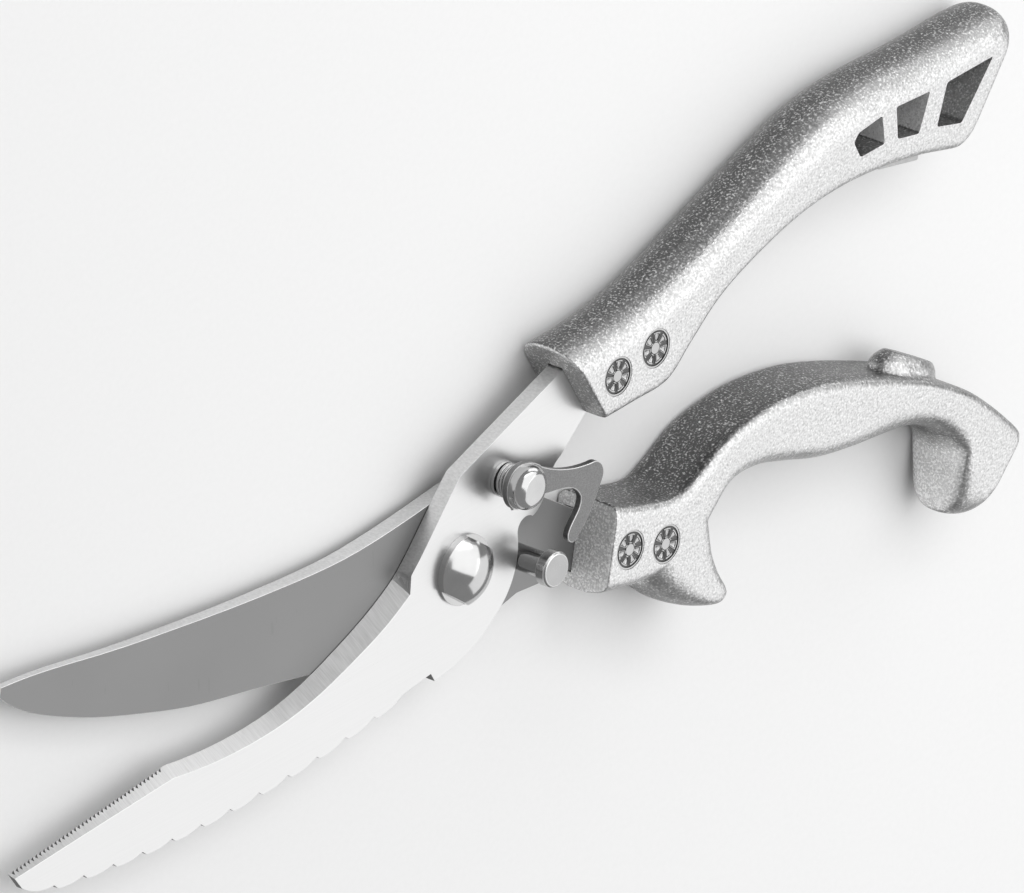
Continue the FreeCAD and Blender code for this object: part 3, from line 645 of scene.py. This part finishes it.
def makeCap(node, body):
    look = capLook
    low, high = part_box(node)
    middle = (low + high) / 2
    bm = bmesh.new()
    bmesh.ops.create_circle(bm, cap_ends=True, segments=look["segments"], radius=(high.x - low.x) / 2)

    def inset(faces, thickness, depth=0.0):
        bmesh.ops.inset_region(bm, faces=faces, thickness=thickness * mm, depth=depth * mm,
                               use_even_offset=True)

    raised = bmesh.ops.extrude_face_region(bm, geom=list(bm.faces))["geom"]
    crown = [item for item in raised if isinstance(item, bmesh.types.BMFace)]
    bmesh.ops.translate(bm, verts=[item for item in raised if isinstance(item, bmesh.types.BMVert)],
                        vec=(0, 0, high.z - low.z))
    bmesh.ops.recalc_face_normals(bm, faces=bm.faces)
    inset(crown, look["rim"])
    before = set(bm.faces)
    inset(crown, look["gutterWall"], -look["gutterDepth"])
    inset(crown, look["gutter"])
    paintedShadeFaces = [face for face in bm.faces if face not in before] + crown
    for face in paintedShadeFaces:
        face.material_index = 1
    before = set(bm.faces)
    inset(crown, look["petalBand"])
    band = [face for face in bm.faces if face not in before]
    share = 2 * math.pi / look["petals"]
    for petal in range(look["petals"]):
        faces = []
        for face in band:
            spot = face.calc_center_median()
            turn = (math.atan2(spot.y, spot.x) % (2 * math.pi)) / share
            if int(turn) == petal and look["petalGap"] < turn - petal < 1 - look["petalGap"]:
                faces.append(face)
        before = set(bm.faces)
        inset(faces, look["petalSide"], look["petalDepth"])
        inset(faces, look["petalWall"])
        for face in [face for face in bm.faces if face not in before]:
            face.material_index = 0
        inset(faces, look["hollowSide"], -look["petalDepth"] * look["hollowShare"])
        for face in faces:
            face.material_index = 0
    inset(crown, look["eyeWall"], look["petalDepth"])
    for face in crown:
        face.material_index = 0
    bmesh.ops.translate(bm, verts=bm.verts, vec=(middle.x, middle.y, low.z))
    side, _, end = node.split("_")
    piece = meshObject(side + "Cap" + end.capitalize(), bm, "satinCap", "capRelief")
    shadeSmooth(piece, look["sharpAngle"])
    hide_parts(node)
    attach(piece, body)
    return piece


for side, body in (("upper", "front_half"), ("lower", "rear_half")):
    for end in ("front", "back"):
        makeCap(f"{side}_cap_{end}", body)
print("rivet caps stamped")


# Latch spring: a close coil on the stud with a short leg at each end.
springLook = {"wire": 0.34, "turns": 2.6, "stepsPerTurn": 24, "leg": 3.4, "roundness": 6}


def makeLatchSpring():
    look = springLook
    low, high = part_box("latch_spring")
    middle = (low + high) / 2
    wire = look["wire"] * mm
    radius = (high.x - low.x) / 2 - wire
    steps = int(look["turns"] * look["stepsPerTurn"])
    rise = (high.z - low.z) - 2 * wire
    points = []
    for step in range(steps + 1):
        turn = 2 * math.pi * step / look["stepsPerTurn"]
        points.append(Vector((middle.x + radius * math.cos(turn), middle.y + radius * math.sin(turn),
                              low.z + wire + rise * step / steps)))
    firstWay = (points[0] - points[1]).normalized()
    lastWay = (points[-1] - points[-2]).normalized()
    points.insert(0, points[0] + firstWay * look["leg"] * mm)
    points.append(points[-1] + lastWay * look["leg"] * mm)
    curve = bpy.data.curves.new("latchSpring", "CURVE")
    curve.dimensions = "3D"
    curve.bevel_depth = wire
    curve.bevel_resolution = look["roundness"]
    curve.use_fill_caps = True
    spline = curve.splines.new("POLY")
    spline.points.add(len(points) - 1)
    for item, point in zip(spline.points, points):
        item.co = (*point, 1)
    curve.materials.append(materials["springWire"])
    piece = bpy.data.objects.new("latchSpring", curve)
    bpy.context.scene.collection.objects.link(piece)
    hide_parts("latch_spring")
    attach(piece, "front_half")


makeLatchSpring()
print("latch spring wound")

# CAD solids that stay as they are get their finish here.
for node, finish in {"opening_spring": "springWire", "pivot_washer": "nylon",
                     "upper_rivet_front": "satinCap", "upper_rivet_back": "satinCap",
                     "lower_rivet_front": "satinCap", "lower_rivet_back": "satinCap"}.items():
    nodes[node].data.materials.clear()
    nodes[node].data.materials.append(materials[finish])


# Studio: pale floor, one large soft key over the handles, a strip for the ridges. Each
# box has its direction, distance, width, height and power, in metres and watts.
studioLook = {
    "floor": 4.0, "floorGrey": 0.86, "floorTooth": 900, "world": 0.38, "target": (0.014, 0.010, 0.008),
    "boxes": {"keyBox": ((0.65, -0.45, 0.61), 0.9, 0.9, 0.7, 1.9),
              "stripBox": ((0.28, 0.71, 0.62), 0.9, 0.8, 0.18, 0.7),
              "topBox": ((0.22, 0.34, 0.92), 1.1, 1.6, 1.4, 10.2),
              "edgeBox": ((0.76, 0.62, 0.22), 0.9, 0.8, 0.35, 1.5)}}


def makeFloor():
    bm = bmesh.new()
    bmesh.ops.create_grid(bm, x_segments=1, y_segments=1, size=studioLook["floor"])
    floor = meshObject("floor", bm)
    finish = Finish("floorPaper")
    tooth = finish.noise(studioLook["floorTooth"], 3)
    grey = studioLook["floorGrey"]
    floor.data.materials.append(finish.set(
        color=finish.greys(tooth, [(0.3, grey * 0.985), (0.7, grey)]), rough=0.85,
        normal=finish.bump(tooth, 0.00002, 0.3)))


def softBox(name, towards, distance, width, height, power):
    light = bpy.data.lights.new(name, "AREA")
    light.shape = "RECTANGLE"
    light.size = width
    light.size_y = height
    light.energy = power
    lamp = bpy.data.objects.new(name, light)
    bpy.context.scene.collection.objects.link(lamp)
    way = Vector(towards).normalized()
    lamp.location = Vector(studioLook["target"]) + way * distance
    lamp.rotation_mode = "QUATERNION"
    lamp.rotation_quaternion = way.to_track_quat("Z", "Y")


makeFloor()
for name, box in studioLook["boxes"].items():
    softBox(name, *box)
world = bpy.data.worlds.new("studio")
bpy.context.scene.world = world
world.use_nodes = True
background = world.node_tree.nodes["Background"]
background.inputs["Color"].default_value = (1, 1, 1, 1)
background.inputs["Strength"].default_value = studioLook["world"]


# Long lens from over the tips' left, turned so that the shears run up to the right. Lean
# is how squarely the camera looks down on the blades, from 0 to 1.
cameraLook = {"lens": 1500, "sensor": 36, "aim": (14.1, 18.0, 8.8), "width": 177.2, "heading": 35,
              "roll": 20, "lean": 0.61, "clipEnd": 20}


def makeCamera():
    look = cameraLook
    heading = math.radians(look["heading"])
    roll = math.radians(look["roll"])
    lean = look["lean"]
    reach = math.sqrt(1 - lean * lean)
    ahead = Vector((math.cos(heading), -math.sin(heading), 0))
    sideways = Vector((math.sin(heading), math.cos(heading), 0))
    climb = ahead * lean + Vector((0, 0, reach))
    right = climb * math.cos(roll) + sideways * math.sin(roll)
    up = sideways * math.cos(roll) - climb * math.sin(roll)
    back = right.cross(up)
    camera = bpy.data.objects.new("camera", bpy.data.cameras.new("camera"))
    bpy.context.scene.collection.objects.link(camera)
    camera.data.lens = look["lens"]
    camera.data.sensor_width = look["sensor"]
    distance = look["width"] * mm * look["lens"] / look["sensor"]
    turn = Matrix((right, up, back)).transposed().to_4x4()
    camera.matrix_world = Matrix.Translation(Vector(look["aim"]) * mm + back * distance) @ turn
    camera.data.clip_end = look["clipEnd"]
    bpy.context.scene.camera = camera


makeCamera()
bpy.context.scene.view_settings.view_transform = "Standard"
print("studio and camera set")
